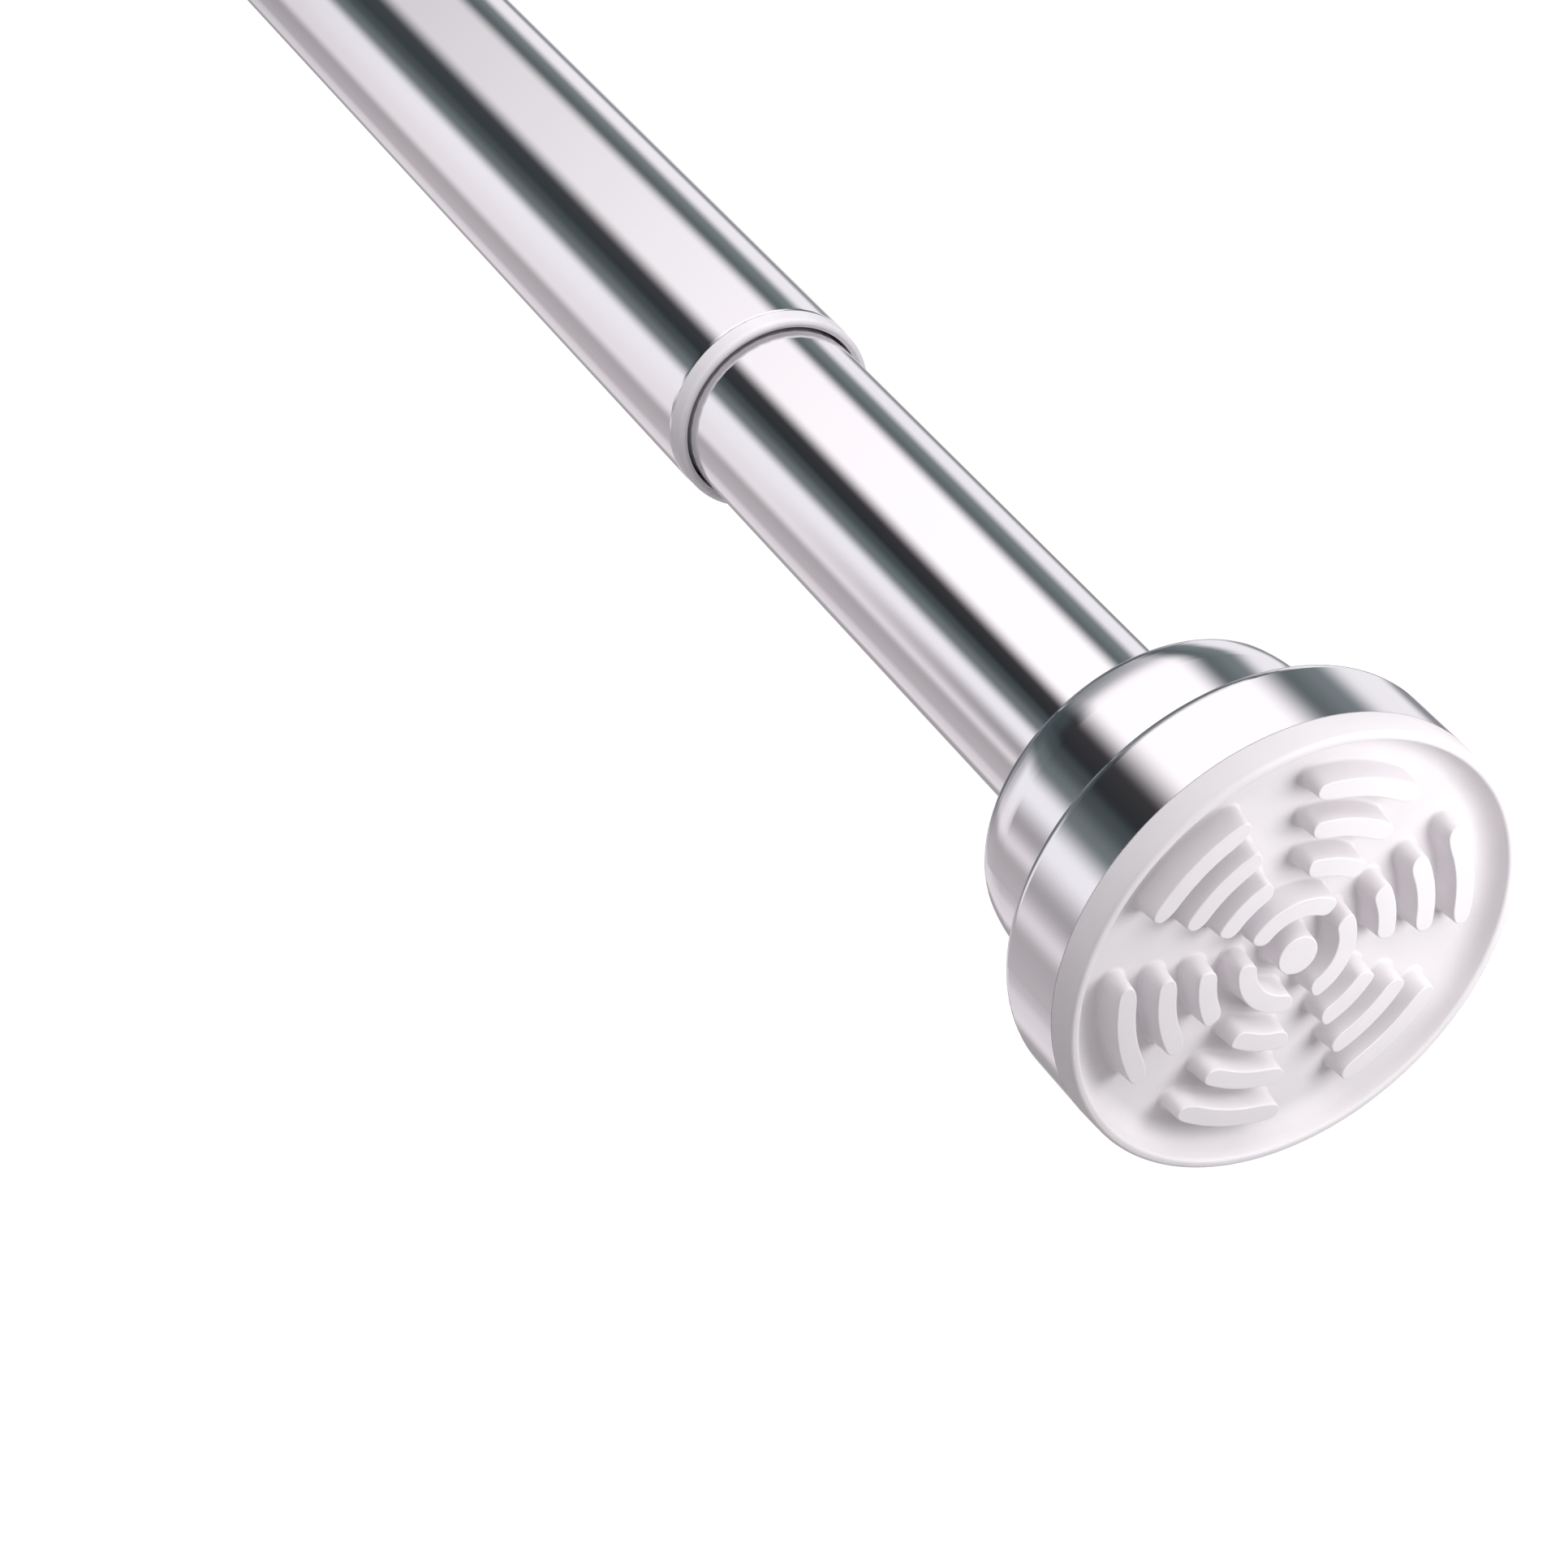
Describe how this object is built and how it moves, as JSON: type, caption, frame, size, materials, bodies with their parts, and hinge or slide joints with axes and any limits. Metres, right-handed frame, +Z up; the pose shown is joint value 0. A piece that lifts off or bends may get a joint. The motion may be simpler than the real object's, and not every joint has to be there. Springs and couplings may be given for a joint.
{
  "type": "spring tension rod",
  "caption": "Telescoping curtain rod with a twist lock and an inner spring, stepped end caps and treaded wall pads, wedged between two walls.",
  "frame": {"origin": "centre of the outer tube's pad, on its wall face", "axes": "+X along the rod towards the inner tube's pad, +Z up, rod level as it hangs between two walls"},
  "size_m": [0.5809, 0.0526, 0.0526],
  "materials": {
    "tube_steel": "mirror-polished stainless steel",
    "cap_chrome": "bright chrome plate on a moulded cap",
    "pad_rubber": "moulded white soft rubber",
    "collar_plastic": "moulded pale grey plastic",
    "plug_plastic": "moulded natural plastic",
    "lock_plastic": "moulded black plastic",
    "shoe_plastic": "moulded off-white plastic",
    "fastener_steel": "zinc-plated steel",
    "spindle_steel": "cold-drawn steel",
    "spring_steel": "oiled spring wire"
  },
  "bodies": {
    "outer_assembly": {"outer_tube": "tube_steel", "guide_collar": "collar_plastic", "outer_end_cap": "cap_chrome", "outer_pad": "pad_rubber", "outer_end_plug": "plug_plastic", "outer_end_washer": "fastener_steel", "outer_end_screw": "fastener_steel"},
    "lock_shoe": {"lock_shoe": "shoe_plastic"},
    "spindle_assembly": {"spindle": "spindle_steel", "lock_cam": "lock_plastic", "shoe_retainer": "fastener_steel", "cam_screw": "fastener_steel", "thrust_washer": "fastener_steel", "compression_spring": "spring_steel", "stop_washer": "fastener_steel", "stop_clip": "fastener_steel"},
    "inner_assembly": {"inner_tube": "tube_steel", "inner_end_cap": "cap_chrome", "inner_pad": "pad_rubber", "inner_end_plug": "plug_plastic", "inner_end_washer": "fastener_steel", "inner_end_screw": "fastener_steel", "spindle_guide": "plug_plastic"}
  },
  "joints": [
    {"name": "telescope", "type": "slide", "parent": "outer_assembly", "child": "lock_shoe", "axis": [1, 0, 0], "range_m": [-0.06, 0.217]},
    {"name": "twist_lock", "type": "hinge", "parent": "lock_shoe", "child": "spindle_assembly", "pos_m": [0.1009, 0, 0], "axis": [1, 0, 0], "range_deg": [0, 90]},
    {"name": "spring_push", "type": "slide", "parent": "spindle_assembly", "child": "inner_assembly", "axis": [1, 0, 0], "range_m": [-0.02, 0], "stiffness_N_per_m": 2500, "springref_m": 0.004, "deforming": ["compression_spring"]}
  ]
}
